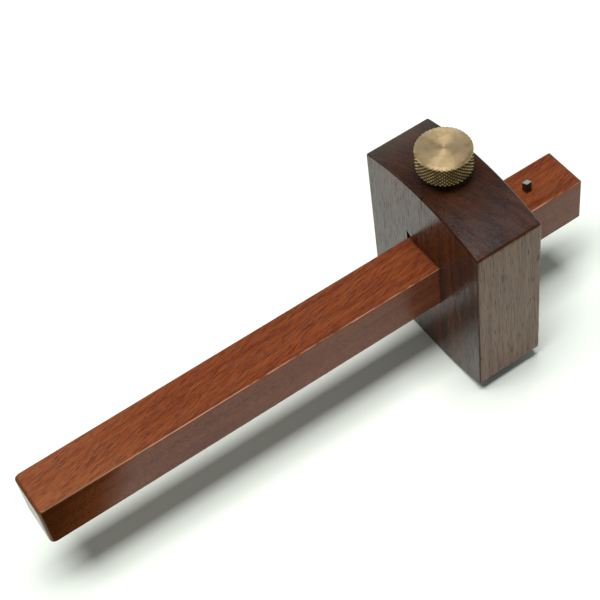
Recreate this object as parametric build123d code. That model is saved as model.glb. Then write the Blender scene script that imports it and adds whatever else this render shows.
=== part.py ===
from build123d import *
import os

# A marking gauge. A hardwood stem slides through a rosewood stock, a brass thumbscrew
# locks it there, and a steel pin near the stem's short end scores the work.
# Millimetres. +X runs along the stem towards the pin, +Y is the gauge's left, +Z is up.
# The origin is under the middle of the stem's length, level with the stock's lowest point.

# ---- Stem: a hardwood bar, a little deeper than it is wide ----
stem_length = 220.0
stem_width = 18.0
stem_height = 19.4
stem_arris_radius = 0.5        # the four long edges
grip_corner_radius = 1.9       # the upright edges at the held end
grip_end_radius = 1.3          # the level edges at the held end
pin_corner_radius = 0.8        # the upright edges at the pin's end
pin_end_radius = 0.9           # the level edges at the pin's end
stem_reach = 36.5              # from the stock's working face to the stem's pin end

# ---- Stock: a flat-sided block with an arched top and an arched foot ----
stock_thickness = 26.5
stock_width = 62.0
stock_above_stem = 34.2        # from the stem's axis up to the top corners
stock_below_stem = 35.3        # from the stem's axis down to the bottom corners
stock_top_rise = 4.7           # how far the top arch stands above its corners
stock_foot_drop = 4.3          # how far the foot arch hangs below its corners
stock_top_corner_radius = 0.9
stock_foot_corner_radius = 1.8
stock_arris_radius = 0.5

# ---- Mortise through the stock ----
mortise_side_gap = 0.25        # each side of the stem
mortise_floor_gap = 0.05
mortise_ceiling_gap = 1.0
nick_width = 3.0               # a chisel nick in the ceiling's left corner, on the front face
nick_height = 2.3
nick_depth = 4.0

# ---- Thumbscrew, its bush and its pressure pad ----
screw_offset = 3.5             # the screw's hole lies this far to the left of the stock's middle
screw_radius = 3.95            # outside of the thread
head_radius = 9.8
head_height = 8.8
head_lift = 3.4                # from the top of the arch up to the head's underside
head_rim_width = 0.9           # the bevel round the top of the head
head_rim_drop = 0.6
head_under_bevel = 0.6
stud_radius = 2.0              # the turned-down tip that the pad swivels on
stud_length = 2.1
thread_gap = 0.05

bush_wall = 2.0
bush_length = 11.5
bush_sink = 0.6                # the bush's top lies this far below the top of the arch
bush_bevel = 0.4

pad_overhang = 0.25            # how far the pad stands out past the thread
pad_height = 3.0
pad_bore_gap = 0.1             # round the pad, in the stock's hole
pad_stem_gap = 0.05            # under the pad, above the stem
stud_gap = 0.05
stud_end_gap = 0.1
shoulder_gap = 0.02            # between the screw's shoulder and the pad's top
pad_bevel = 0.3

# ---- Marking pin ----
pin_length_x = 2.3
pin_width_y = 2.6
pin_from_face = 19.0           # from the stock's working face to the pin's middle
pin_standing = 4.6             # height of the scoring edge above the stem
pin_grind = 1.2                # how much lower the ground bevel leaves the pin's left side
pin_depth = 12.0               # how far the pin is driven into the stem
pin_lead = 0.5                 # bevel at its driven end

cut_past = 1.0                 # how far a cutting shape runs past the face it cuts

# ---- Places that follow from the sizes above ----
stem_axis_z = stock_below_stem + stock_foot_drop
stem_top_z = stem_axis_z + stem_height / 2
stem_floor_z = stem_axis_z - stem_height / 2
stem_pin_end_x = stem_length / 2
work_face_x = stem_pin_end_x - stem_reach
front_face_x = work_face_x - stock_thickness
stock_mid_x = (front_face_x + work_face_x) / 2
top_corner_z = stem_axis_z + stock_above_stem
foot_corner_z = stem_axis_z - stock_below_stem
crown_z = top_corner_z + stock_top_rise

mortise_half_width = stem_width / 2 + mortise_side_gap
mortise_floor_z = stem_floor_z - mortise_floor_gap
mortise_ceiling_z = stem_top_z + mortise_ceiling_gap

pad_bottom_z = stem_top_z + pad_stem_gap
pad_top_z = pad_bottom_z + pad_height
shoulder_z = pad_top_z + shoulder_gap
head_bottom_z = crown_z + head_lift
head_top_z = head_bottom_z + head_height
bush_top_z = crown_z - bush_sink
bush_bottom_z = bush_top_z - bush_length
screw_bore_radius = screw_radius + thread_gap
bush_radius = screw_bore_radius + bush_wall
pad_radius = screw_radius + pad_overhang
pad_bore_radius = pad_radius + pad_bore_gap
pin_x = work_face_x + pin_from_face
pin_bottom_z = stem_top_z - pin_depth


def block(x, y, z):
    """A box between three (low, high) pairs."""
    size = [high - low for low, high in (x, y, z)]
    middle = [(high + low) / 2 for low, high in (x, y, z)]
    return Pos(*middle) * Box(*size)


def turned(outline):
    """A solid turned about the screw's axis from (radius, height) points."""
    face = make_face(Polyline(*[(r, 0, z) for r, z in outline], close=True))
    return Pos(stock_mid_x, screw_offset, 0) * revolve(face, Axis.Z)


def upright_bore(radius, bottom, top):
    """A round bar on the screw's axis, to cut a bore with."""
    return Pos(stock_mid_x, screw_offset, (bottom + top) / 2) * Cylinder(radius, top - bottom)


def marking_pin():
    """A square steel pin, bevelled where it is driven in, its top ground to a slope."""
    middle_z = (pin_bottom_z + stem_top_z + pin_standing) / 2
    height = pin_standing + pin_depth
    pin = Pos(pin_x, 0, middle_z) * Box(pin_length_x, pin_width_y, height)
    pin = chamfer(pin.faces().sort_by(Axis.Z)[0].edges(), pin_lead)
    right = -pin_width_y / 2
    left = pin_width_y / 2
    edge_z = stem_top_z + pin_standing
    waste = Polyline((right, edge_z), (left, edge_z), (left, edge_z - pin_grind), close=True)
    waste = extrude(Plane.YZ * make_face(waste), pin_length_x, both=True)
    return pin - Pos(pin_x, 0, 0) * waste


def stem_outline(across, grip_radius, pin_radius):
    """The stem from above or from the side, with its own rounding at each end."""
    outline = Rectangle(stem_length, across)
    outline = fillet(outline.vertices().sort_by(Axis.X)[:2], grip_radius)
    return fillet(outline.vertices().sort_by(Axis.X)[-2:], pin_radius)


def stem():
    """The bar, rounded along its length and at both ends, with the pin's socket."""
    plan = stem_outline(stem_width, grip_corner_radius, pin_corner_radius)
    side = stem_outline(stem_height, grip_end_radius, pin_end_radius)
    section = RectangleRounded(stem_width, stem_height, stem_arris_radius)
    bar = extrude(plan, stem_height / 2, both=True)
    bar &= extrude(Plane.XZ * side, stem_width / 2, both=True)
    bar &= extrude(Plane.YZ * section, stem_length / 2, both=True)
    return Pos(0, 0, stem_axis_z) * bar - marking_pin()


def stock_outline():
    """The stock's face: straight sides, with an arch at the top and one at the foot."""
    half = stock_width / 2
    top = (0, crown_z)
    foot = (0, 0)
    left_side = Line((half, foot_corner_z), (half, top_corner_z))
    top_arch = ThreePointArc((half, top_corner_z), top, (-half, top_corner_z))
    right_side = Line((-half, top_corner_z), (-half, foot_corner_z))
    foot_arch = ThreePointArc((-half, foot_corner_z), foot, (half, foot_corner_z))
    face = make_face([left_side, top_arch, right_side, foot_arch])
    corners = face.vertices().sort_by(Axis.Y)
    face = fillet(corners[2:], stock_top_corner_radius)
    corners = face.vertices().sort_by(Axis.Y)
    return fillet(corners[:2], stock_foot_corner_radius)


def stock():
    """The block with its mortise, the nick at the mortise's corner and the screw's hole."""
    body = extrude(Plane.YZ * stock_outline(), stock_thickness)
    body = Pos(front_face_x, 0, 0) * body
    rims = body.edges().filter_by_position(Axis.X, front_face_x, front_face_x)
    rims += body.edges().filter_by_position(Axis.X, work_face_x, work_face_x)
    body = fillet(rims, stock_arris_radius)

    through = (front_face_x - cut_past, work_face_x + cut_past)
    width = (-mortise_half_width, mortise_half_width)
    body -= block(through, width, (mortise_floor_z, mortise_ceiling_z))

    nick = Polyline(
        (mortise_half_width, mortise_ceiling_z - cut_past),
        (mortise_half_width, mortise_ceiling_z + nick_height),
        (mortise_half_width - nick_width, mortise_ceiling_z),
        (mortise_half_width - nick_width, mortise_ceiling_z - cut_past),
        close=True,
    )
    body -= Pos(front_face_x, 0, 0) * extrude(Plane.YZ * make_face(nick), nick_depth)

    body -= upright_bore(bush_radius, bush_bottom_z, crown_z + cut_past)
    body -= upright_bore(pad_bore_radius, mortise_ceiling_z - cut_past, bush_bottom_z + cut_past)
    return body


def threaded_insert():
    """The brass bush in the stock's top that the thumbscrew threads through."""
    outline = [
        (screw_bore_radius, bush_bottom_z),
        (bush_radius - bush_bevel, bush_bottom_z),
        (bush_radius, bush_bottom_z + bush_bevel),
        (bush_radius, bush_top_z),
        (screw_bore_radius + bush_bevel, bush_top_z),
        (screw_bore_radius, bush_top_z - bush_bevel),
    ]
    return turned(outline)


def thumbscrew():
    """The brass screw: a broad round head, a long shank and a stud at its tip."""
    outline = [
        (0, shoulder_z - stud_length),
        (stud_radius, shoulder_z - stud_length),
        (stud_radius, shoulder_z),
        (screw_radius, shoulder_z),
        (screw_radius, head_bottom_z),
        (head_radius - head_under_bevel, head_bottom_z),
        (head_radius, head_bottom_z + head_under_bevel),
        (head_radius, head_top_z - head_rim_drop),
        (head_radius - head_rim_width, head_top_z),
        (0, head_top_z),
    ]
    return turned(outline)


def pressure_pad():
    """The brass pad that swivels on the screw's tip and bears on the stem."""
    socket_radius = stud_radius + stud_gap
    socket_floor_z = shoulder_z - stud_length - stud_end_gap
    outline = [
        (0, pad_bottom_z),
        (pad_radius - pad_bevel, pad_bottom_z),
        (pad_radius, pad_bottom_z + pad_bevel),
        (pad_radius, pad_top_z),
        (socket_radius, pad_top_z),
        (socket_radius, socket_floor_z),
        (0, socket_floor_z),
    ]
    return turned(outline)


pieces = {
    "stem": stem(),
    "stock": stock(),
    "threaded_insert": threaded_insert(),
    "thumbscrew": thumbscrew(),
    "pressure_pad": pressure_pad(),
    "marking_pin": marking_pin(),
}

os.makedirs("parts", exist_ok=True)
for name, piece in pieces.items():
    export_step(piece, f"parts/{name}.step")
    box = piece.bounding_box()
    print(f"{name}: {piece.volume:.1f} mm3, x {box.min.X:.2f}..{box.max.X:.2f}, "
          f"y {box.min.Y:.2f}..{box.max.Y:.2f}, z {box.min.Z:.2f}..{box.max.Z:.2f}")
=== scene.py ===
# %% [markdown]
# # A marking gauge in hardwood, brass and steel
# A joiner slides the stem through the stock, locks it with the thumbscrew, and draws the pin
# along a board to score a line parallel to its edge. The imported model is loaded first, as a
# fixed frame: its boxes say where every piece goes, so nothing below is placed by eye.

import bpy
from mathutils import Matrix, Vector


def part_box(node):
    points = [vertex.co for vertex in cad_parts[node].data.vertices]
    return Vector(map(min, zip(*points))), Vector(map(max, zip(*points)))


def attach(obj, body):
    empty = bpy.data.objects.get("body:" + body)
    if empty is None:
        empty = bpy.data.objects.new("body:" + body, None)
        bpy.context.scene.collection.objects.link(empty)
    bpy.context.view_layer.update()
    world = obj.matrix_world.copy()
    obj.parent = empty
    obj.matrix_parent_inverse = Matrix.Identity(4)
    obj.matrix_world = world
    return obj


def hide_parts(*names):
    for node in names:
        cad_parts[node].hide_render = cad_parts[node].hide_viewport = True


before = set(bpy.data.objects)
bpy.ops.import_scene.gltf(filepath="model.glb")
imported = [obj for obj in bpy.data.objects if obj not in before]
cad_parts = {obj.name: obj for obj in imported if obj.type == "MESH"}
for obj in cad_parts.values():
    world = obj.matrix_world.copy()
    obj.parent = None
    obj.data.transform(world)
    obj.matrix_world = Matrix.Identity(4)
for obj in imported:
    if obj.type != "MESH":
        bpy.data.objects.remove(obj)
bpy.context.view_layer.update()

# %% [markdown]
# Sizes are written in millimetres, as on a maker's drawing, and turned into Blender's metres by
# one factor. Two corners of a node's box give its middle and its size, which the later cells use.

# %% Units and the boxes of the six parts
import bpy
import math
from mathutils import Matrix, Vector

MM = 0.001
HAIR = 0.01 * MM

stem_low, stem_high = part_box("stem")
stock_low, stock_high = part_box("stock")
screw_low, screw_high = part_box("thumbscrew")
bush_low, bush_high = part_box("threaded_insert")
pad_low, pad_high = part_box("pressure_pad")
pin_low, pin_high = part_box("marking_pin")
screw_axis = (screw_low + screw_high) / 2
stem_axis = (stem_low + stem_high) / 2
pin_axis = (pin_low + pin_high) / 2
print("stem", (stem_high - stem_low) / MM, "stock", (stock_high - stock_low) / MM)

# %% [markdown]
# Modelling by operators means that what is selected is what gets changed. The loaded nodes start
# out selected, so each step first clears the selection and then takes one piece. Faces, edges
# and corners are picked by a test on their place, as one would click on them in the window.

# %% Taking a piece and picking parts of it
def deselect_all():
    """Leave edit mode and let go of everything."""
    if bpy.context.object and bpy.context.object.mode != "OBJECT":
        bpy.ops.object.mode_set(mode="OBJECT")
    bpy.ops.object.select_all(action="DESELECT")


def take(piece):
    """Make one piece the selected and active one."""
    deselect_all()
    piece.select_set(True)
    bpy.context.view_layer.objects.active = piece


def pick(piece, kind, test):
    """Enter edit mode with only the FACE, EDGE or VERT parts selected that pass the test."""
    take(piece)
    bpy.ops.object.mode_set(mode="EDIT")
    bpy.ops.mesh.select_mode(type=kind)
    bpy.ops.mesh.select_all(action="DESELECT")
    bpy.ops.object.mode_set(mode="OBJECT")
    corners = piece.data.vertices
    if kind == "FACE":
        for face in piece.data.polygons:
            face.select = test(face.center, face.normal)
    if kind == "EDGE":
        for edge in piece.data.edges:
            edge.select = test(*(corners[i].co for i in edge.vertices))
    if kind == "VERT":
        for corner in corners:
            corner.select = test(corner.co)
    bpy.ops.object.mode_set(mode="EDIT")


def near(a, b):
    """Whether two lengths are the same, within a hundredth of a millimetre."""
    return abs(a - b) < HAIR


print("picking helpers ready")

# %% [markdown]
# Three more habits of the bench: setting out a block between two corners, cutting one shape out
# of another, and applying a modifier as soon as it is set, so that each mesh is finished as it
# stands. The outside faces are turned outwards again after any step that could flip them.

# %% Blocks, cuts and finished modifiers
merge_gap = 0.002 * MM


def name_piece(name):
    """Name the piece just added, and keep its place in its mesh."""
    bpy.ops.object.transform_apply(location=True, rotation=True, scale=True)
    piece = bpy.context.object
    piece.name = name
    piece.data.name = name
    return piece


def block(name, low, high):
    """A cube stretched between two corners."""
    low, high = Vector(low), Vector(high)
    deselect_all()
    bpy.ops.mesh.primitive_cube_add(size=1, location=(low + high) / 2)
    bpy.context.object.scale = high - low
    return name_piece(name)


def bar(name, radius, bottom, top, sides):
    """An upright round bar on the thumbscrew's axis."""
    deselect_all()
    middle = (screw_axis.x, screw_axis.y, (bottom + top) / 2)
    bpy.ops.mesh.primitive_cylinder_add(
        vertices=sides, radius=radius, depth=top - bottom, location=middle)
    return name_piece(name)


def finish_with(piece, kind, **settings):
    """Put a modifier on a piece, set it and apply it."""
    take(piece)
    modifier = piece.modifiers.new(kind.lower(), kind)
    for name, value in settings.items():
        setattr(modifier, name, value)
    bpy.ops.object.modifier_apply(modifier=modifier.name)


def combine(piece, other, operation):
    """Cut the other shape out of the piece, or weld it on, and throw the other away."""
    finish_with(piece, "BOOLEAN", operation=operation, object=other, solver="EXACT")
    bpy.data.objects.remove(other, do_unlink=True)


def face_outwards(piece):
    """Merge doubled corners and turn every face outwards."""
    pick(piece, "VERT", lambda corner: True)
    bpy.ops.mesh.remove_doubles(threshold=merge_gap)
    bpy.ops.mesh.normals_make_consistent(inside=False)
    deselect_all()


def smooth_by_angle(piece, degrees):
    """Shade rounded stretches smooth, leave real edges sharp and keep flats flat."""
    take(piece)
    bpy.ops.object.shade_smooth_by_angle(angle=math.radians(degrees))
    finish_with(piece, "WEIGHTED_NORMAL", weight=100, keep_sharp=True)


def report(piece):
    """Print what was made."""
    low = [round(min(v.co[i] for v in piece.data.vertices) / MM, 2) for i in range(3)]
    high = [round(max(v.co[i] for v in piece.data.vertices) / MM, 2) for i in range(3)]
    print(piece.name, "from", low, "to", high, "faces", len(piece.data.polygons))


print("bench helpers ready")

# %% [markdown]
# No hand-finished arris is dead straight: sandpaper rounds it more in one place than another.
# The corners along an arris go into a vertex group, and a Displace modifier with a soft cloud
# pattern presses only those inwards, by up to a fifth of a millimetre or so. Pressing inwards
# keeps each piece inside its box.

# %% Worn arrises
def on_rounding(gap, other_gap, radius):
    """Whether a corner that far inside two faces is on the rounding between them."""
    return max(gap, other_gap) < radius - HAIR and min(gap, other_gap) > HAIR


def press_in(piece, group_name, test, depth, patch_size):
    """Press the corners that pass the test unevenly inwards."""
    group = piece.vertex_groups.new(name=group_name)
    chosen = [v.index for v in piece.data.vertices if test(v.co)]
    group.add(chosen, 1.0, "REPLACE")
    clouds = bpy.data.textures.new(piece.name + "_" + group_name, "CLOUDS")
    clouds.noise_scale = patch_size
    clouds.noise_depth = 2
    finish_with(
        piece, "DISPLACE", texture=clouds, texture_coords="LOCAL",
        vertex_group=group_name, mid_level=1.0, strength=depth)
    print(piece.name, group_name, "pressed in at", len(chosen), "corners")


print("wear helpers ready")

# %% [markdown]
# ## The stem
# The stem is a bar of reddish hardwood, a little deeper than it is wide and planed flat. Its long
# arrises are just broken, and its ends are rounded further, the held end most of all. It could be
# a cube with one bevel, but the radii differ, so each end's upright corners are bevelled first
# and the rims then get one Bevel modifier whose width follows a weight on each edge. The bar is
# first divided along its length, so that wear has corners to press in later.

# %% The stem's bar
stem_rings = 78
corner_steps = 6
rim_steps = 4
sharp_angle = math.radians(40)
grip_corner_radius = 1.9 * MM
grip_end_radius = 1.3 * MM
pin_corner_radius = 0.8 * MM
pin_end_radius = 0.9 * MM
stem_arris_radius = 0.5 * MM


def upright_at(end_x):
    """The two upright edges of the stem's end at end_x."""
    def test(a, b):
        return abs(a.z - b.z) > MM and near(a.x, end_x) and near(b.x, end_x)
    return test


stem = block("stem_bar", stem_low, stem_high)
pick(stem, "EDGE", lambda a, b: abs(a.x - b.x) > MM)
bpy.ops.mesh.subdivide(number_cuts=stem_rings)
for end_x, radius in ((stem_low.x, grip_corner_radius), (stem_high.x, pin_corner_radius)):
    pick(stem, "EDGE", upright_at(end_x))
    bpy.ops.mesh.bevel(offset=radius, segments=corner_steps, affect="EDGES")
pick(stem, "EDGE", lambda a, b: False)
bpy.ops.mesh.edges_select_sharp(sharpness=sharp_angle)
bpy.ops.object.mode_set(mode="OBJECT")

weights = stem.data.attributes.new("bevel_weight_edge", "FLOAT", "EDGE")
for edge in stem.data.edges:
    if edge.select:
        a, b = (stem.data.vertices[i].co for i in edge.vertices)
        across = abs(a.y - b.y) / (abs(a.x - b.x) + abs(a.y - b.y))
        end_radius = grip_end_radius if a.x < 0 else pin_end_radius
        radius = stem_arris_radius + (end_radius - stem_arris_radius) * across
        weights.data[edge.index].value = radius / grip_end_radius
finish_with(
    stem, "BEVEL", width=grip_end_radius, segments=rim_steps, limit_method="WEIGHT",
    use_clamp_overlap=False)
report(stem)

# %% [markdown]
# The pin stands in a square socket in the stem's top. The socket is cut a hair wider than the
# pin, so that a fine dark line shows round it, as it does round any driven pin.

# %% The pin's socket and the stem's worn arrises
socket_gap = 0.06 * MM
cut_past = 1.0 * MM
arris_wear = 0.22 * MM
arris_patch = 5 * MM
socket_low = pin_low - Vector((socket_gap, socket_gap, socket_gap))
socket_high = pin_high + Vector((socket_gap, socket_gap, cut_past))
combine(stem, block("socket", socket_low, socket_high), "DIFFERENCE")


def on_stem_arris(corner):
    """On the rounding of one of the stem's four long edges, but not on a flat."""
    side_gap = stem_high.y - abs(corner.y)
    level_gap = stem_high.z - stem_axis.z - abs(corner.z - stem_axis.z)
    return on_rounding(side_gap, level_gap, stem_arris_radius)


press_in(stem, "arris", on_stem_arris, arris_wear, arris_patch)
face_outwards(stem)
smooth_by_angle(stem, 35)
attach(stem, "stem")
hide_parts("stem")
report(stem)

# %% [markdown]
# ## The stock
# The stock is the block that runs along the board's edge. Its sides are straight and its top and
# foot are shallow arches. One corner point is spun about the arch's centre to draw the top,
# extruded down the side, spun again for the foot, closed, filled and extruded to the block's
# thickness. That gives true arcs, which a cube with pushed corners wouldn't.

# %% The stock's outline
stock_half_width = stock_high.y
top_rise = 4.7 * MM
foot_drop = 4.3 * MM
arch_steps = 28
side_steps = 40


def arch(rise):
    """The radius and the whole angle of an arch that spans the stock's width."""
    radius = (stock_half_width ** 2 + rise ** 2) / (2 * rise)
    return radius, 2 * math.asin(stock_half_width / radius)


top_radius, top_angle = arch(top_rise)
foot_radius, foot_angle = arch(foot_drop)
top_corner_z = stock_high.z - top_rise
foot_corner_z = stock_low.z + foot_drop
front_x = stock_low.x

deselect_all()
bpy.ops.mesh.primitive_plane_add(size=MM, location=(front_x, -stock_half_width, top_corner_z))
stock = name_piece("stock_block")
bpy.ops.object.mode_set(mode="EDIT")
bpy.ops.mesh.select_mode(type="VERT")
bpy.ops.mesh.merge(type="CENTER")
bpy.ops.mesh.spin(
    steps=arch_steps, angle=top_angle, axis=(1, 0, 0),
    center=(front_x, 0, stock_high.z - top_radius))
side_drop = foot_corner_z - top_corner_z
bpy.ops.mesh.extrude_vertices_move(TRANSFORM_OT_translate={"value": (0, 0, side_drop)})
bpy.ops.mesh.spin(
    steps=arch_steps, angle=foot_angle, axis=(1, 0, 0),
    center=(front_x, 0, stock_low.z + foot_radius))
pick(stock, "VERT", lambda corner: near(corner.y, -stock_half_width))
bpy.ops.mesh.edge_face_add()
bpy.ops.mesh.select_all(action="SELECT")
bpy.ops.mesh.edge_face_add()
thickness = stock_high.x - stock_low.x
bpy.ops.mesh.extrude_region_move(TRANSFORM_OT_translate={"value": (thickness, 0, 0)})
deselect_all()
report(stock)

# %% [markdown]
# The four corners where the arches meet the sides are rounded, the foot's more than the top's,
# because the foot gets knocked. Then the rims of both faces are broken with fine sandpaper. The
# sides are first divided along their height, so that wear has corners to press in later.

# %% The stock's rounded corners and rims
top_corner_radius = 0.9 * MM
foot_corner_radius = 1.8 * MM
stock_arris_radius = 0.5 * MM
tall_edge = 20 * MM


def runs_through_at(z):
    """Edges that run through the stock's thickness at a side, level with z."""
    def test(a, b):
        return abs(a.x - b.x) > MM and near(abs(a.y), stock_half_width) and near(a.z, z)
    return test


for corner_z, radius in ((top_corner_z, top_corner_radius), (foot_corner_z, foot_corner_radius)):
    pick(stock, "EDGE", runs_through_at(corner_z))
    bpy.ops.mesh.bevel(offset=radius, segments=corner_steps, affect="EDGES")
pick(stock, "EDGE", lambda a, b: abs(a.z - b.z) > tall_edge)
bpy.ops.mesh.subdivide(number_cuts=side_steps)
pick(stock, "EDGE", lambda a, b: False)
bpy.ops.mesh.edges_select_sharp(sharpness=sharp_angle)
bpy.ops.mesh.bevel(offset=stock_arris_radius, segments=rim_steps, affect="EDGES")
face_outwards(stock)
report(stock)

# %% [markdown]
# The mortise is chopped through for the stem, a little roomier above it than below. A slip of
# the chisel left a nick in its ceiling, at the left corner of the front: a block whose right side
# is drawn down to the ceiling, and whose back leans forwards, cuts that wedge.

# %% The mortise and its nick
mortise_side_gap = 0.25 * MM
mortise_floor_gap = 0.05 * MM
mortise_ceiling_gap = 1.0 * MM
nick_width = 4.2 * MM
nick_height = 2.9 * MM
nick_depth = 4.0 * MM
nick_lean = 1.6 * MM

mortise_half_width = stem_high.y + mortise_side_gap
mortise_floor = stem_low.z - mortise_floor_gap
mortise_ceiling = stem_high.z + mortise_ceiling_gap
mortise = block(
    "mortise",
    (stock_low.x - cut_past, -mortise_half_width, mortise_floor),
    (stock_high.x + cut_past, mortise_half_width, mortise_ceiling))
combine(stock, mortise, "DIFFERENCE")

nick = block(
    "nick",
    (front_x - cut_past, mortise_half_width - nick_width, mortise_ceiling - cut_past),
    (front_x + nick_depth, mortise_half_width, mortise_ceiling + nick_height))
pick(nick, "VERT", lambda v: v.z > mortise_ceiling and v.y < mortise_half_width - MM)
bpy.ops.transform.translate(value=(0, 0, -nick_height))
pick(nick, "VERT", lambda v: v.z > mortise_ceiling + MM and v.x > front_x)
bpy.ops.transform.translate(value=(-nick_lean, 0, 0))
deselect_all()
combine(stock, nick, "DIFFERENCE")
report(stock)

# %% [markdown]
# The bush's seat and the pad's bore are drilled from the top. A short drying crack runs down from
# the top arris, near mid-width. It is a thin wedge cut out of the block, half as wide at its foot,
# because a line drawn in a material would have no depth when seen from the side.

# %% The bores and the crack
pad_bore_gap = 0.1 * MM
bore_overlap = 0.2 * MM
seat_sides = 96
bore_sides = 72
bush_radius = (bush_high.x - bush_low.x) / 2
pad_bore_radius = (pad_high.x - pad_low.x) / 2 + pad_bore_gap
bush_seat = bar("bush_seat", bush_radius, bush_low.z, stock_high.z + cut_past, seat_sides)
combine(stock, bush_seat, "DIFFERENCE")
pad_bore = bar(
    "pad_bore", pad_bore_radius, mortise_ceiling - cut_past, bush_low.z + bore_overlap, bore_sides)
combine(stock, pad_bore, "DIFFERENCE")

crack_y = -0.9 * MM
crack_width = 0.42 * MM
crack_length = 5.5 * MM
crack_depth = 0.9 * MM
crack_taper = 0.5
crack = block(
    "crack",
    (front_x - cut_past, crack_y - crack_width / 2, stock_high.z - crack_length),
    (front_x + crack_depth, crack_y + crack_width / 2, stock_high.z + cut_past))
pick(crack, "VERT", lambda v: v.z < stock_high.z)
bpy.ops.transform.resize(
    value=(1, crack_taper, 1), center_override=(front_x, crack_y, stock_high.z))
deselect_all()
combine(stock, crack, "DIFFERENCE")
report(stock)

# %% [markdown]
# The stock's arrises are pressed in like the stem's. The corners that qualify lie on the rims of
# the two broad faces, away from the mortise, whose edges stay crisp.

# %% The stock's worn arrises
rim_wear = 0.24 * MM
rim_patch = 6 * MM


def on_stock_rim(corner):
    """On the rounding between a broad face and the outline, but on neither of them."""
    face_gap = min(corner.x - stock_low.x, stock_high.x - corner.x)
    side_gap = stock_half_width - abs(corner.y)
    top_gap = top_radius - math.hypot(corner.y, corner.z - stock_high.z + top_radius)
    foot_gap = foot_radius - math.hypot(corner.y, corner.z - stock_low.z - foot_radius)
    return on_rounding(face_gap, min(side_gap, top_gap, foot_gap), stock_arris_radius)


press_in(stock, "rim", on_stock_rim, rim_wear, rim_patch)
face_outwards(stock)
smooth_by_angle(stock, 30)
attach(stock, "stock")
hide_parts("stock")
report(stock)

# %% [markdown]
# ## The thumbscrew
# The head is turned from brass bar and its rim is knurled: two sets of slanting grooves leave
# rows of small diamonds for the fingers. A bump pattern would look flat at the rim's outline, so
# the diamonds are modelled. A cylinder's band is divided into a grid, every second corner of
# each row is drawn in towards the axis, and cutting each square along its shorter diagonal lets
# the drawn-in corners join into grooves, with a pyramid between them.

# %% The knurled head
head_lift = 3.4 * MM
head_bottom = stock_high.z + head_lift
head_radius = (screw_high.x - screw_low.x) / 2
rim_width = 0.9 * MM
rim_drop = 0.6 * MM
under_bevel = 0.6 * MM
knurl_sides = 80
knurl_rows = 10
knurl_depth = 0.5 * MM
knurl_bottom = head_bottom + under_bevel
knurl_top = screw_high.z - rim_drop
knurl_step = (knurl_top - knurl_bottom) / knurl_rows

head = bar("thumbscrew_head", head_radius, knurl_bottom, knurl_top, knurl_sides)
pick(head, "EDGE", lambda a, b: abs(a.z - b.z) > MM)
bpy.ops.mesh.subdivide(number_cuts=knurl_rows - 1)
deselect_all()
report(head)

# %% [markdown]
# The lathe faces the top flat and bevels its rim, and leaves a small dimple where the tool met
# the axis. Underneath it leaves a flat rim round a shallow recess. Each ring is an inset of the
# end face, moved up or down after it.

# %% The head's faced ends
facing_ring = 0.35 * MM
dimple_radius = 0.85 * MM
dimple_slope = 0.45 * MM
dimple_depth = 0.12 * MM
under_rim = 2.6 * MM
recess_slope = 0.3 * MM
recess_depth = 0.25 * MM
middle_gap = 0.1 * MM


def off_axis(place):
    """How far a place is from the thumbscrew's axis."""
    return math.hypot(place.x - screw_axis.x, place.y - screw_axis.y)


def inset_end(piece, up, z, inset, lift):
    """Inset the middle face that looks up (1) or down (-1) at height z, then move it."""
    def middle_face(centre, normal):
        return normal.z * up > 0.9 and near(centre.z, z) and off_axis(centre) < middle_gap
    pick(piece, "FACE", middle_face)
    bpy.ops.mesh.inset(thickness=inset, depth=0)
    bpy.ops.transform.translate(value=(0, 0, lift))


faced_width = head_radius - rim_width - facing_ring - dimple_radius
inset_end(head, 1, knurl_top, rim_width, rim_drop)
inset_end(head, 1, screw_high.z, facing_ring, 0)
inset_end(head, 1, screw_high.z, faced_width, 0)
inset_end(head, 1, screw_high.z, dimple_slope, -dimple_depth)
inset_end(head, -1, knurl_bottom, under_bevel, -under_bevel)
inset_end(head, -1, head_bottom, under_rim, 0)
inset_end(head, -1, head_bottom, recess_slope, recess_depth)
deselect_all()
report(head)

# %% [markdown]
# Now the grid's corners are drawn in, the top and bottom rows as well, so that the grooves run
# out into the bevels. That makes the saw-toothed rim that a knurling wheel leaves. The top row is
# drawn in half as far, because the facing cut took the deepest part of the grooves' ends.

# %% The knurl's grooves
def around(corner):
    """The corner's place in its row, counted round the axis."""
    turn = math.atan2(corner.y - screw_axis.y, corner.x - screw_axis.x)
    return round(turn / (2 * math.pi) * knurl_sides)


def in_groove(top_row):
    """Every second corner of the band's top row, or of all its other rows."""
    def test(corner):
        row = round((corner.z - knurl_bottom) / knurl_step)
        every_second = (around(corner) + row) % 2 == 1
        on_rim = near(off_axis(corner), head_radius)
        return on_rim and every_second and (row == knurl_rows) == top_row
    return test


for top_row, depth in ((True, knurl_depth / 2), (False, knurl_depth)):
    pick(head, "VERT", in_groove(top_row))
    shrink = (head_radius - depth) / head_radius
    bpy.ops.transform.resize(value=(shrink, shrink, 1), center_override=tuple(screw_axis))
pick(head, "FACE", lambda centre, normal: knurl_bottom < centre.z < knurl_top)
bpy.ops.mesh.quads_convert_to_tris(quad_method="SHORTEST_DIAGONAL")
report(head)

# %% [markdown]
# The shank carries the thread. A short line that draws one turn of it, along the crest, in to the
# root, along the root and out again, is swept round the axis by a Screw modifier. It climbs one
# pitch a turn, and each turn's end is merged to the next one's start. The sweep is longer than the
# shank, so bisecting it at both ends, with filling, leaves a closed bar whose thread runs out as
# a die leaves it.

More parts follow.
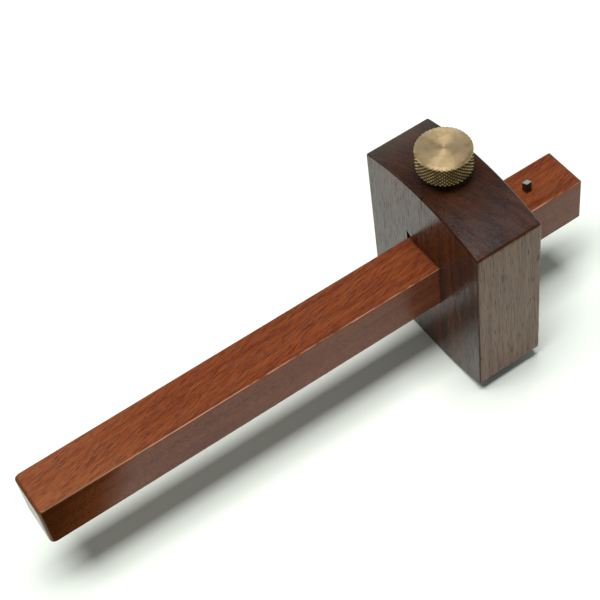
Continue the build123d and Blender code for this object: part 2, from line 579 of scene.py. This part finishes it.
# %% The threaded shank
thread_pitch = 1.25 * MM
thread_depth = 0.62 * MM
thread_steps = 40
crest = 0.14 * thread_pitch
flank_in = 0.36 * thread_pitch
root = 0.12 * thread_pitch
flank_out = 0.38 * thread_pitch
shank_radius = 3.95 * MM
shoulder_gap = 0.02 * MM
shank_in_head = 0.3 * MM
sweep_past = 0.5 * MM
bisect_snap = 0.0001 * MM
shoulder = pad_high.z + shoulder_gap
thread_from = shoulder - 2 * thread_pitch
thread_turns = math.ceil((head_bottom + sweep_past - thread_from) / thread_pitch) + 1

deselect_all()
bpy.ops.mesh.primitive_plane_add(size=MM, location=(shank_radius, 0, 0))
shank = name_piece("thumbscrew_shank")
bpy.ops.object.mode_set(mode="EDIT")
bpy.ops.mesh.select_mode(type="VERT")
bpy.ops.mesh.merge(type="CENTER")
one_turn = ((0, crest), (-thread_depth, flank_in), (0, root), (thread_depth, flank_out))
for outwards, upwards in one_turn:
    bpy.ops.mesh.extrude_vertices_move(
        TRANSFORM_OT_translate={"value": (outwards, 0, upwards)})
finish_with(
    shank, "SCREW", axis="Z", angle=2 * math.pi, screw_offset=thread_pitch,
    iterations=thread_turns, steps=thread_steps, render_steps=thread_steps)
face_outwards(shank)
pick(shank, "VERT", lambda v: True)
bpy.ops.transform.translate(value=(screw_axis.x, screw_axis.y, thread_from))

for height, clear_up in ((shoulder, False), (head_bottom + shank_in_head, True)):
    pick(shank, "FACE", lambda centre, normal: True)
    bpy.ops.mesh.bisect(
        plane_co=(screw_axis.x, screw_axis.y, height), plane_no=(0, 0, 1), use_fill=True,
        clear_outer=clear_up, clear_inner=not clear_up, threshold=bisect_snap)
face_outwards(shank)
report(shank)

# %% [markdown]
# Below the shoulder a plain stud fits the pressure pad's socket. Head, shank and stud are welded
# into one solid, as they are on the real screw, which is turned from one bar.

# %% Welding the screw together
stud_radius = 2.0 * MM
stud_in_shank = 0.4 * MM
stud_bevel = 0.3 * MM
stud_sides = 48

stud = bar("stud", stud_radius, screw_low.z, shoulder + stud_in_shank, stud_sides)
pick(stud, "EDGE", lambda a, b: near(a.z, screw_low.z) and near(b.z, screw_low.z))
bpy.ops.mesh.bevel(offset=stud_bevel, segments=3, affect="EDGES")
combine(shank, stud, "UNION")
combine(head, shank, "UNION")
thumbscrew = head
thumbscrew.name = "thumbscrew_turned"
face_outwards(thumbscrew)
smooth_by_angle(thumbscrew, 24)
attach(thumbscrew, "thumbscrew")
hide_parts("thumbscrew")
report(thumbscrew)

# %% [markdown]
# ## The marking pin
# The pin is a short square peg of dark steel, its end ground to a slope so that one edge scores
# the wood. A block is stretched between the node's corners, the left edge of its top is lowered,
# its driven end is drawn in, and its arrises are lightly broken.

# %% The pin
pin_grind = 1.2 * MM
pin_lead = 0.5 * MM
pin_arris = 0.18 * MM
ground_arris = 0.1 * MM
upright_edge = 2 * MM
outer_corner = (pin_high.x - pin_low.x - pin_lead) / 2

pin = block("marking_pin_ground", pin_low, pin_high)
pick(pin, "VERT", lambda v: v.z > pin_axis.z and v.y > pin_axis.y)
bpy.ops.transform.translate(value=(0, 0, -pin_grind))
pick(pin, "FACE", lambda centre, normal: normal.z < -0.9)
bpy.ops.mesh.inset(thickness=pin_lead, depth=0)
pick(pin, "VERT", lambda v: near(v.z, pin_low.z) and abs(v.x - pin_axis.x) > outer_corner)
bpy.ops.transform.translate(value=(0, 0, pin_lead))
pick(pin, "EDGE", lambda a, b: abs(a.z - b.z) > upright_edge)
bpy.ops.mesh.bevel(offset=pin_arris, segments=3, affect="EDGES")
pick(pin, "EDGE", lambda a, b: min(a.z, b.z) > stem_high.z and abs(a.z - b.z) < upright_edge)
bpy.ops.mesh.bevel(offset=ground_arris, segments=2, affect="EDGES")
face_outwards(pin)
smooth_by_angle(pin, 30)
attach(pin, "stem")
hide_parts("marking_pin")
report(pin)

# %% [markdown]
# ## Finishes
# A finish is a small network of nodes. These helpers add one node each, and take either a plain
# number or another node's output for every input, so that a recipe reads from top to bottom.
# All patterns start from Object coordinates, which on these pieces are metres in the gauge's own
# frame, so a grain size can be written as it would be measured with a rule.

# %% Short ways to add nodes
def new_finish(name):
    """A new material with its tree and its surface shader."""
    material = bpy.data.materials.new(name)
    material.use_nodes = True
    tree = material.node_tree
    return material, tree, tree.nodes["Principled BSDF"]


def feed(tree, socket, value):
    """Join another node's output to a socket, or set a plain value on it."""
    if isinstance(value, bpy.types.NodeSocket):
        tree.links.new(value, socket)
    else:
        socket.default_value = value


def node(tree, kind, **settings):
    """Add a node and set its own options."""
    made = tree.nodes.new(kind)
    for name, value in settings.items():
        setattr(made, name, value)
    return made


def places(tree):
    """Where a point is, in metres, in the gauge's frame."""
    return node(tree, "ShaderNodeTexCoord").outputs["Object"]


def laid(tree, place, size, turn=(0, 0, 0), centre=(0, 0, 0)):
    """Coordinates in which one patch of a pattern has this size, turned and centred so."""
    made = node(tree, "ShaderNodeMapping", vector_type="TEXTURE")
    feed(tree, made.inputs["Vector"], place)
    made.inputs["Location"].default_value = centre
    made.inputs["Rotation"].default_value = turn
    made.inputs["Scale"].default_value = size
    return made.outputs["Vector"]


def cloud(tree, place, detail=2.0, roughness=0.5, distortion=0.0):
    """A soft noise, about 0.3 to 0.7."""
    made = node(tree, "ShaderNodeTexNoise", noise_dimensions="3D")
    feed(tree, made.inputs["Vector"], place)
    made.inputs["Scale"].default_value = 1.0
    made.inputs["Detail"].default_value = detail
    made.inputs["Roughness"].default_value = roughness
    made.inputs["Distortion"].default_value = distortion
    return made.outputs["Fac"]


def between(tree, value, low, high, to_low=0.0, to_high=1.0):
    """Turn the range low..high smoothly into to_low..to_high."""
    made = node(tree, "ShaderNodeMapRange", interpolation_type="SMOOTHSTEP", clamp=True)
    feed(tree, made.inputs["Value"], value)
    made.inputs["From Min"].default_value = low
    made.inputs["From Max"].default_value = high
    made.inputs["To Min"].default_value = to_low
    made.inputs["To Max"].default_value = to_high
    return made.outputs["Result"]


def maths(tree, operation, a, b=0.0):
    """One sum on two numbers."""
    made = node(tree, "ShaderNodeMath", operation=operation)
    feed(tree, made.inputs[0], a)
    feed(tree, made.inputs[1], b)
    return made.outputs["Value"]


def tint(tree, amount, under, over, mode="MIX"):
    """Lay one colour over another, by an amount."""
    made = node(tree, "ShaderNodeMix", data_type="RGBA", blend_type=mode)
    feed(tree, made.inputs[0], amount)
    feed(tree, made.inputs[6], under)
    feed(tree, made.inputs[7], over)
    return made.outputs[2]


def relief(tree, height, distance, under=None):
    """Bump of a real height, over any bump below it."""
    made = node(tree, "ShaderNodeBump")
    feed(tree, made.inputs["Height"], height)
    made.inputs["Strength"].default_value = 1.0
    made.inputs["Distance"].default_value = distance
    if under:
        feed(tree, made.inputs["Normal"], under)
    return made.outputs["Normal"]


def split(tree, place):
    """The x, y and z of a point."""
    made = node(tree, "ShaderNodeSeparateXYZ")
    feed(tree, made.inputs["Vector"], place)
    return made.outputs["X"], made.outputs["Y"], made.outputs["Z"]


def wear(piece, material):
    """Give a piece this one finish."""
    piece.data.materials.clear()
    piece.data.materials.append(material)


print("finish helpers ready")

# %% [markdown]
# ## The stem's wood
# The stem is a warm red-brown tropical hardwood with a short, interlocked grain: long streaks
# run with the bar, short flecks cross them at a small angle, and open pores show as dark dashes.
# Towards the held end a yellower tone is mixed in a little, and the rest is made a little darker.
# One pattern in the gauge's own frame does for all the faces, so the grain runs through the bar as
# in real wood.

# %% The stem's colours and grain
stem_wood, tree, surface = new_finish("stem_hardwood")
place = places(tree)
x, y, z = split(tree, place)

RED_BROWN = (0.168, 0.037, 0.012, 1)
ORANGE = (0.265, 0.078, 0.024, 1)
DEEP_RED = (0.078, 0.014, 0.005, 1)
PORE_DARK = (0.030, 0.008, 0.004, 1)
# A yellower tone mixed in towards the held end, and the rest multiplied a little darker.
YELLOWER_TONE = (0.380, 0.180, 0.080, 1)
DARKER_TONE = (0.92, 0.88, 0.84, 1)

fleck_slant = math.radians(14)
fibre_slant = 0.4 * fleck_slant
yellower_from = -50 * MM
darker_from = -85 * MM
darker_full = -45 * MM
streaks = cloud(tree, laid(tree, place, (80 * MM, 2.6 * MM, 2.6 * MM)), 3.0, 0.55, 0.4)
mottle = cloud(tree, laid(tree, place, (22 * MM, 7 * MM, 7 * MM)), 2.0, 0.5)
flecks = cloud(
    tree, laid(tree, place, (4.5 * MM, 0.45 * MM, 0.45 * MM), (0, 0, fleck_slant)), 3.0, 0.65)
fibres = cloud(
    tree, laid(tree, place, (16 * MM, 0.22 * MM, 0.22 * MM), (0, 0, fibre_slant)), 2.0)
pores = cloud(
    tree, laid(tree, place, (3.6 * MM, 0.20 * MM, 0.20 * MM), (0, 0, fleck_slant)), 1.0)

wood = tint(tree, between(tree, streaks, 0.38, 0.70, 0.1, 0.8), RED_BROWN, ORANGE)
wood = tint(tree, between(tree, streaks, 0.46, 0.30, 0.0, 0.5), wood, DEEP_RED)
wood = tint(tree, between(tree, mottle, 0.35, 0.65, 0.0, 0.5), wood, RED_BROWN)
wood = tint(tree, between(tree, flecks, 0.50, 0.64, 0.0, 0.6), wood, ORANGE)
wood = tint(tree, between(tree, flecks, 0.47, 0.34, 0.0, 0.65), wood, DEEP_RED)
wood = tint(tree, between(tree, fibres, 0.35, 0.60, 0.0, 0.25), wood, DEEP_RED)
wood = tint(tree, between(tree, mottle, 0.46, 0.30, 0.0, 0.25), wood, DEEP_RED)
wood = tint(tree, between(tree, x, yellower_from, stem_low.x, 0.0, 0.12), wood, YELLOWER_TONE)
wood = tint(tree, between(tree, x, darker_from, darker_full), wood, DARKER_TONE, "MULTIPLY")
pore_mask = between(tree, pores, 0.60, 0.68)
wood = tint(tree, maths(tree, "MULTIPLY", pore_mask, 0.75), wood, PORE_DARK)
print("stem grain mixed")

# %% [markdown]
# An arris is found from the place alone: a point is on it when it is within half a millimetre of
# two faces at once. The upper right one is painted pale, partly wear and partly a painted
# highlight, most of all near the held end, and noise breaks its line up. The others hold grime.
# The held end and its right side get painted shade, a dark patch in place of the shadowed table
# they mirror, and that fades out along the bar.

# %% The stem's worn and darkened wood
# Partly wear and partly a painted highlight of the light on the arris's rounding.
WORN_PALE_AND_HIGHLIGHT = (0.520, 0.300, 0.190, 1)
GRIME_DARK = (0.30, 0.26, 0.22, 1)
# Painted shade: the held end's dark patch stands in for the shadowed table mirrored in its side.
HELD_END_PAINTED_SHADE = (0.30, 0.28, 0.20, 1)
arris_from = 0.50 * MM
arris_full = 0.22 * MM
dark_patch_slope = 0.5
dark_patch_fade = 40 * MM

side_gap = maths(tree, "SUBTRACT", stem_high.y, maths(tree, "ABSOLUTE", y))
level = maths(tree, "ABSOLUTE", maths(tree, "SUBTRACT", z, stem_axis.z))
level_gap = maths(tree, "SUBTRACT", stem_high.z - stem_axis.z, level)
arris = maths(
    tree, "MULTIPLY", between(tree, side_gap, arris_from, arris_full),
    between(tree, level_gap, arris_from, arris_full))
upper_right = maths(
    tree, "MULTIPLY", between(tree, y, 0, -MM), between(tree, z, stem_axis.z, stem_axis.z + MM))
# The upper right arris: worn paler, with a painted highlight laid in as colour.
wear_and_highlight = maths(tree, "MULTIPLY", arris, upper_right)
grimy = maths(tree, "SUBTRACT", arris, wear_and_highlight)
wear_and_glint_noise = cloud(tree, laid(tree, place, (9 * MM, 2 * MM, 2 * MM)), 3.0, 0.6)
nearer_end = between(tree, x, 30 * MM, stem_low.x, 0.0, 0.25)
wear_and_glint_noise = maths(tree, "ADD", wear_and_glint_noise, nearer_end)
wear_and_highlight = maths(tree, "MULTIPLY", wear_and_highlight, between(tree, wear_and_glint_noise, 0.42, 0.60, 0.1, 0.9))
wood = tint(tree, wear_and_highlight, wood, WORN_PALE_AND_HIGHLIGHT)
wood = tint(tree, grimy, wood, GRIME_DARK, "MULTIPLY")

dark_patch_line = maths(tree, "SUBTRACT", x, maths(tree, "MULTIPLY", z, dark_patch_slope))
dark_patch_line = maths(tree, "ADD", dark_patch_line, maths(tree, "MULTIPLY", mottle, 12 * MM))
dark_patch_from = stem_low.x + 6 * MM - dark_patch_slope * stem_axis.z
on_right = between(tree, y, stem_low.y + 0.5 * MM, stem_low.y + 0.2 * MM)
on_end = between(tree, x, stem_low.x + 1.5 * MM, stem_low.x + 0.7 * MM)
dark_patch_faces = maths(tree, "MAXIMUM", on_right, maths(tree, "MULTIPLY", on_end, 0.6))
dark_patch_to = dark_patch_from + dark_patch_fade
# Mask of the painted shade at the held end, darker towards the end.
painted_shade_patch = maths(
    tree, "MULTIPLY", dark_patch_faces, between(tree, dark_patch_line, dark_patch_to, dark_patch_from - 4 * MM))
wood = tint(tree, painted_shade_patch, wood, HELD_END_PAINTED_SHADE, "MULTIPLY")
feed(tree, surface.inputs["Base Color"], wood)
print("worn and handled wood laid over the grain")

# %% [markdown]
# The bar was lacquered, so the colour is one thing and the shine another. The lacquer is gone from
# the held end's patch of painted shade and from the arrises, thin on the sides, and broken over
# pores and dark flecks. How bare a place is sets its specular level, and bump raises the fibres a
# little.

# %% The stem's lacquer
side_bareness = 0.40
pore_bareness = 0.6

bare = maths(
    tree, "MULTIPLY", dark_patch_faces, between(tree, dark_patch_line, dark_patch_to + 6 * MM, dark_patch_from + 16 * MM))
bare = maths(tree, "MAXIMUM", bare, arris)
on_side = between(tree, side_gap, 0.5 * MM, 0.2 * MM)
bare = maths(tree, "MAXIMUM", bare, maths(tree, "MULTIPLY", on_side, side_bareness))
bare = maths(tree, "MAXIMUM", bare, maths(tree, "MULTIPLY", pore_mask, pore_bareness))
bare = maths(tree, "MAXIMUM", bare, between(tree, flecks, 0.46, 0.36, 0.0, 0.5))
lacquer = between(tree, bare, 0.0, 1.0, 0.5, 0.0)
feed(tree, surface.inputs["Specular IOR Level"], lacquer)

shine = between(tree, flecks, 0.30, 0.70, 0.13, 0.22)
shine = maths(tree, "ADD", shine, maths(tree, "MULTIPLY", pore_mask, 0.15))
feed(tree, surface.inputs["Roughness"], shine)
surface.inputs["IOR"].default_value = 1.4
grain_up = relief(tree, fibres, 0.02 * MM)
grain_up = relief(tree, maths(tree, "SUBTRACT", 1.0, pore_mask), 0.03 * MM, grain_up)
feed(tree, surface.inputs["Normal"], grain_up)
wear(stem, stem_wood)
print("stem finished with", len(tree.nodes), "nodes")

# %% [markdown]
# ## The stock's wood
# The stock is a dense, dark rosewood with its grain upright, so its four sides show long fine
# fibres and its arched top shows end grain: darker, with pores as dots. The same solid pattern
# does for all of them, since a stretched noise is long on the sides and round on the ends, as
# wood is. The right side is coloured a little paler. Only the arched faces look up or down, so
# the normal tells where the end grain's colours belong.

# %% The stock's colours and grain
stock_wood, tree, surface = new_finish("stock_rosewood")
place = places(tree)
x, y, _ = split(tree, place)

DARK_HEART = (0.034, 0.009, 0.003, 1)
WARM_HEART = (0.085, 0.023, 0.006, 1)
BLACK_LINE = (0.012, 0.005, 0.003, 1)
# The right side's colour, a little paler than the rest.
PALER_SIDE_TONE = (0.155, 0.072, 0.034, 1)
END_GRAIN = (0.024, 0.006, 0.002, 1)
figure_turn = 0.35

lines = cloud(tree, laid(tree, place, (2.2 * MM, 1.8 * MM, 110 * MM)), 3.0, 0.6, 0.3)
fibres = cloud(tree, laid(tree, place, (0.32 * MM, 0.32 * MM, 22 * MM)), 2.0, 0.6)
pores = cloud(tree, laid(tree, place, (0.22 * MM, 0.22 * MM, 5.5 * MM)), 1.0)
clouds = cloud(tree, laid(tree, place, (14 * MM, 9 * MM, 60 * MM), (0, 0, 0.6)), 2.0)

wood = tint(tree, between(tree, lines, 0.42, 0.66), DARK_HEART, WARM_HEART)
wood = tint(tree, between(tree, lines, 0.40, 0.30), wood, BLACK_LINE)
side_gap = maths(tree, "ADD", y, stock_high.y)
paler = between(tree, side_gap, 0.30 * MM, 0.05 * MM)
wood = tint(tree, paler, wood, PALER_SIDE_TONE)
wood = tint(tree, between(tree, lines, 0.55, 0.36, 0.0, 0.35), wood, DARK_HEART)
wood = tint(tree, between(tree, fibres, 0.50, 0.34, 0.0, 0.5), wood, DARK_HEART)

facing = node(tree, "ShaderNodeTexCoord").outputs["Normal"]
face_x, _, face_z = split(tree, facing)
end_on = between(tree, maths(tree, "ABSOLUTE", face_z), 0.6, 0.9)
end_wood = tint(tree, between(tree, clouds, 0.35, 0.70, 0.0, 0.45), END_GRAIN, WARM_HEART)
end_wood = tint(tree, between(tree, fibres, 0.35, 0.60, 0.0, 0.5), end_wood, BLACK_LINE)
streaks = cloud(
    tree, laid(tree, place, (1.1 * MM, 9 * MM, 9 * MM), (0, 0, figure_turn)), 3.0, 0.6)
end_wood = tint(tree, between(tree, streaks, 0.48, 0.70, 0.0, 0.25), end_wood, WARM_HEART)
end_wood = tint(tree, between(tree, streaks, 0.48, 0.30, 0.0, 0.3), end_wood, BLACK_LINE)
wood = tint(tree, end_on, wood, end_wood)
pore_mask = between(tree, pores, 0.60, 0.68)
wood = tint(tree, maths(tree, "MULTIPLY", pore_mask, 0.8), wood, BLACK_LINE)
print("stock grain mixed")

# %% [markdown]
# Sanding opened the grain along the rims of the two broad faces, and the rims are coloured darker.
# There, over the pores and over the open fibres, the lacquer has sunk in and shines less. The
# arched top is rougher than the sides, and scuffs vary its shine.

# %% The stock's rims and lacquer
RIM_DARK = (0.70, 0.64, 0.58, 1)
middle_x = (stock_low.x + stock_high.x) / 2

face_gap = maths(tree, "ABSOLUTE", maths(tree, "SUBTRACT", x, middle_x))
face_gap = maths(tree, "SUBTRACT", thickness / 2, face_gap)
off_face = maths(tree, "ABSOLUTE", face_x)
rim = maths(
    tree, "MULTIPLY", between(tree, face_gap, 0.45 * MM, 0.25 * MM),
    between(tree, off_face, 0.97, 0.85))
# The rims of the broad faces are multiplied darker.
wood = tint(tree, rim, wood, RIM_DARK, "MULTIPLY")
feed(tree, surface.inputs["Base Color"], wood)
open_grain = maths(tree, "MAXIMUM", pore_mask, between(tree, fibres, 0.48, 0.34, 0.0, 0.55))
bare = maths(tree, "MAXIMUM", maths(tree, "MULTIPLY", rim, 0.6), open_grain)
lacquer = between(tree, bare, 0.0, 1.0, 0.54, 0.05)
feed(tree, surface.inputs["Specular IOR Level"], lacquer)

shine = between(tree, fibres, 0.30, 0.70, 0.14, 0.22)
scuffs = cloud(
    tree, laid(tree, place, (2.5 * MM, 11 * MM, 11 * MM), (0, 0, figure_turn)), 4.0, 0.65)
end_shine = maths(tree, "MULTIPLY", end_on, between(tree, scuffs, 0.35, 0.65, 0.05, 0.12))
shine = maths(tree, "ADD", shine, end_shine)
feed(tree, surface.inputs["Roughness"], shine)
surface.inputs["IOR"].default_value = 1.4
grain_up = relief(tree, fibres, 0.035 * MM)
grain_up = relief(tree, maths(tree, "SUBTRACT", 1.0, pore_mask), 0.03 * MM, grain_up)
feed(tree, surface.inputs["Normal"], grain_up)
wear(stock, stock_wood)
print("stock finished with", len(tree.nodes), "nodes")

# %% [markdown]
# ## Brass
# Turned brass shows the lathe: fine rings round the axis that spread a lamp's reflection into
# two bright fans. The rings are too fine to draw, so an anisotropic shader makes the fans, with a
# tangent that runs round the axis and a quarter of a turn on it, so that the light spreads across
# the rings. A coarser ring pattern in bump and colour breaks the fans up. The knurl's tips are
# rubbed bright, and in its grooves the brass has gone dull and brown. The distance from the axis
# tells one from the other.

# %% The brass finish
brass, tree, surface = new_finish("turned_brass")
place = places(tree)
from_axis = laid(tree, place, (1, 1, 1), centre=tuple(screw_axis))
x, y, z = split(tree, from_axis)
radius = maths(tree, "SQRT", maths(
    tree, "ADD", maths(tree, "MULTIPLY", x, x), maths(tree, "MULTIPLY", y, y)))

BRIGHT_BRASS = (0.430, 0.325, 0.195, 1)
DULL_BRASS = (0.345, 0.250, 0.130, 1)
KNURL_BRIGHT = (0.80, 0.63, 0.29, 1)
GROOVE_BROWN = (0.110, 0.082, 0.024, 1)
ring_width = 0.22 * MM
band_from = 8.2 * MM
band_full = 8.8 * MM

tarnish = cloud(tree, laid(tree, place, (3.5 * MM, 3.5 * MM, 3.5 * MM)), 4.0, 0.65)
ring_place = node(tree, "ShaderNodeCombineXYZ")
feed(tree, ring_place.inputs["X"], maths(tree, "DIVIDE", radius, ring_width))
feed(tree, ring_place.inputs["Z"], maths(tree, "DIVIDE", z, ring_width))
rings = cloud(tree, ring_place.outputs["Vector"], 2.0, 0.6)

metal = tint(tree, between(tree, tarnish, 0.42, 0.66), BRIGHT_BRASS, DULL_BRASS)
metal = tint(tree, between(tree, rings, 0.45, 0.65, 0.0, 0.25), metal, DULL_BRASS)
below_top = maths(tree, "SUBTRACT", screw_high.z - screw_axis.z, z)
in_band = between(tree, below_top, 0.35 * MM, 0.75 * MM)
out_of_shank = between(tree, radius, band_from, band_full)
in_band = maths(tree, "MULTIPLY", in_band, out_of_shank)
groove_low = between(tree, radius, head_radius - 0.10 * MM, head_radius - 0.34 * MM)
grime = maths(tree, "MULTIPLY", in_band, groove_low)
knurl_tips = maths(tree, "MULTIPLY", in_band, maths(tree, "SUBTRACT", 1.0, groove_low))
rubbed_tips = maths(tree, "MULTIPLY", knurl_tips, between(tree, tarnish, 0.62, 0.42))
metal = tint(tree, rubbed_tips, metal, KNURL_BRIGHT)
metal = tint(tree, maths(tree, "MULTIPLY", grime, 0.9), metal, GROOVE_BROWN)
feed(tree, surface.inputs["Base Color"], metal)
surface.inputs["Metallic"].default_value = 1.0
surface.inputs["Anisotropic"].default_value = 0.4
surface.inputs["Anisotropic Rotation"].default_value = 0.25

shine = between(tree, rings, 0.3, 0.7, 0.50, 0.60)
shine = maths(tree, "ADD", shine, maths(tree, "MULTIPLY", grime, 0.3))
feed(tree, surface.inputs["Roughness"], shine)
round_axis = node(tree, "ShaderNodeTangent", direction_type="RADIAL", axis="Z")
feed(tree, surface.inputs["Tangent"], round_axis.outputs["Tangent"])
marks = relief(tree, rings, 0.006 * MM)
marks = relief(tree, tarnish, 0.03 * MM, marks)
feed(tree, surface.inputs["Normal"], marks)
wear(thumbscrew, brass)
for name in ("threaded_insert", "pressure_pad"):
    wear(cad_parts[name], brass)
print("brass on the thumbscrew, the bush and the pad")

# %% [markdown]
# ## The pin's steel
# The pin is blackened from hardening, and only its ground end shows grey metal with fine
# scratches from the stone, all running the same way.

# %% The steel finish
steel, tree, surface = new_finish("hardened_steel")
place = places(tree)
BLACKENED = (0.045, 0.050, 0.045, 1)
BLOTCHED = (0.10, 0.105, 0.10, 1)
GROUND_GREY = (0.36, 0.40, 0.37, 1)

scratches = cloud(tree, laid(tree, place, (0.9 * MM, 0.05 * MM, 0.05 * MM)), 2.0, 0.7)
blotches = cloud(tree, laid(tree, place, (0.9 * MM, 0.9 * MM, 0.9 * MM)), 3.0, 0.6)
facing = node(tree, "ShaderNodeTexCoord").outputs["Normal"]
_, _, facing_up = split(tree, facing)
ground = between(tree, facing_up, 0.4, 0.8)
metal = tint(tree, between(tree, blotches, 0.4, 0.7), BLACKENED, BLOTCHED)
metal = tint(tree, ground, metal, GROUND_GREY)
metal = tint(tree, between(tree, scratches, 0.5, 0.7, 0.0, 0.4), metal, BLACKENED)
feed(tree, surface.inputs["Base Color"], metal)
surface.inputs["Metallic"].default_value = 1.0
feed(tree, surface.inputs["Roughness"], between(tree, scratches, 0.3, 0.7, 0.28, 0.45))
feed(tree, surface.inputs["Normal"], relief(tree, scratches, 0.01 * MM))
wear(pin, steel)
print("pin finished")

# %% [markdown]
# ## The table, the light and the camera
# The gauge stands on a pale table under one long soft lamp, which hangs overhead and a little
# towards the held end. That lights the tops well and the uprights mostly by what the table throws
# back, so the lacquered faces mirror the table and the stem.

# %% The table
TABLE_WHITE = (0.81, 0.86, 0.79, 1)
TABLE_PALE = (0.79, 0.84, 0.77, 1)
table_size = 6
table_cuts = 8
table_patch = 0.4

deselect_all()
bpy.ops.mesh.primitive_plane_add(size=table_size, location=(0, 0, stock_low.z))
table = name_piece("pale_table")
bpy.ops.object.mode_set(mode="EDIT")
bpy.ops.mesh.subdivide(number_cuts=table_cuts)
deselect_all()
table_paint, tree, surface = new_finish("pale_table_paint")
place = places(tree)
mottle = cloud(tree, laid(tree, place, (table_patch, table_patch, table_patch)), 2.0)
paint = tint(tree, between(tree, mottle, 0.3, 0.7), TABLE_WHITE, TABLE_PALE)
feed(tree, surface.inputs["Base Color"], paint)
surface.inputs["Roughness"].default_value = 0.9
surface.inputs["Specular IOR Level"].default_value = 0.1
wear(table, table_paint)
print("table laid")

# %% [markdown]
# The camera looks down steeply, across the stem, from the held end's side. Its heading is
# measured from the gauge's left (+Y) towards the pin (+X), and a small roll tips the picture, as
# when a camera is held in the hand.

# %% The camera
heading = math.radians(25.97)
downward = math.radians(52.24)
roll = math.radians(-10.06)
camera_place = Vector((-139.5, -281.3, 467.3)) * MM
lens_length = 93.35

away = Vector((math.sin(heading), math.cos(heading), 0))
forward = away * math.cos(downward) + Vector((0, 0, -math.sin(downward)))
level_right = Vector((math.cos(heading), -math.sin(heading), 0))
level_up = level_right.cross(forward)
right = level_right * math.cos(roll) + level_up * math.sin(roll)
up = right.cross(forward)
turned_so = Matrix((right, up, -forward)).transposed()

deselect_all()
bpy.ops.object.camera_add(location=camera_place, rotation=turned_so.to_euler())
camera = bpy.context.object
camera.name = "camera"
camera.data.lens = lens_length
camera.data.sensor_width = 36
camera.data.clip_start = 0.01
camera.data.clip_end = 20
bpy.context.scene.camera = camera
print("camera", camera.location, "lens", camera.data.lens)

# %% [markdown]
# The lamp is an area light as long as a softbox over a bench. The room is dim overhead. Low down
# it is pale behind the gauge, which gives the far end of the arched top a cool sheen, and a faint
# window stands on the camera's side.

# %% The lamp
lamp_height = 1.4
lamp_power = 26.0
lamp_reach = 1.00
lamp_width = 0.55
lamp_back = 0.18

lamp_place = Vector((stock_low.x - lamp_back, 0, lamp_height))
deselect_all()
bpy.ops.object.light_add(type="AREA", location=lamp_place)
lamp = bpy.context.object
lamp.name = "softbox"
lamp.data.shape = "RECTANGLE"
lamp.data.size = lamp_reach
lamp.data.size_y = lamp_width
lamp.data.energy = lamp_power
print("lamp at", tuple(round(v, 3) for v in lamp_place))

# %% The room
ROOM_DIM = (0.10, 0.10, 0.10, 1)
ROOM_PALE = (0.92, 1.08, 1.02, 1)
WINDOW_LIGHT = (0.45, 0.45, 0.45, 1)

room = bpy.data.worlds.new("pale_room")
room.use_nodes = True
bpy.context.scene.world = room
tree = room.node_tree
direction = node(tree, "ShaderNodeTexCoord").outputs["Generated"]
x, y, z = split(tree, direction)
behind = maths(
    tree, "ADD", maths(tree, "MULTIPLY", x, away.x), maths(tree, "MULTIPLY", y, away.y))
glow = maths(
    tree, "MULTIPLY", between(tree, z, 0.60, 0.25), between(tree, behind, -0.2, 0.6))
window = maths(
    tree, "MULTIPLY", between(tree, behind, -0.60, -0.80), between(tree, z, 0.15, 0.30))
backdrop = tree.nodes["Background"]
sky = tint(tree, glow, ROOM_DIM, ROOM_PALE)
feed(tree, backdrop.inputs["Color"], tint(tree, window, sky, WINDOW_LIGHT))
bpy.context.scene.view_settings.view_transform = "Standard"
print("room finished with", len(tree.nodes), "nodes")

# %% Letting go of the selection
deselect_all()
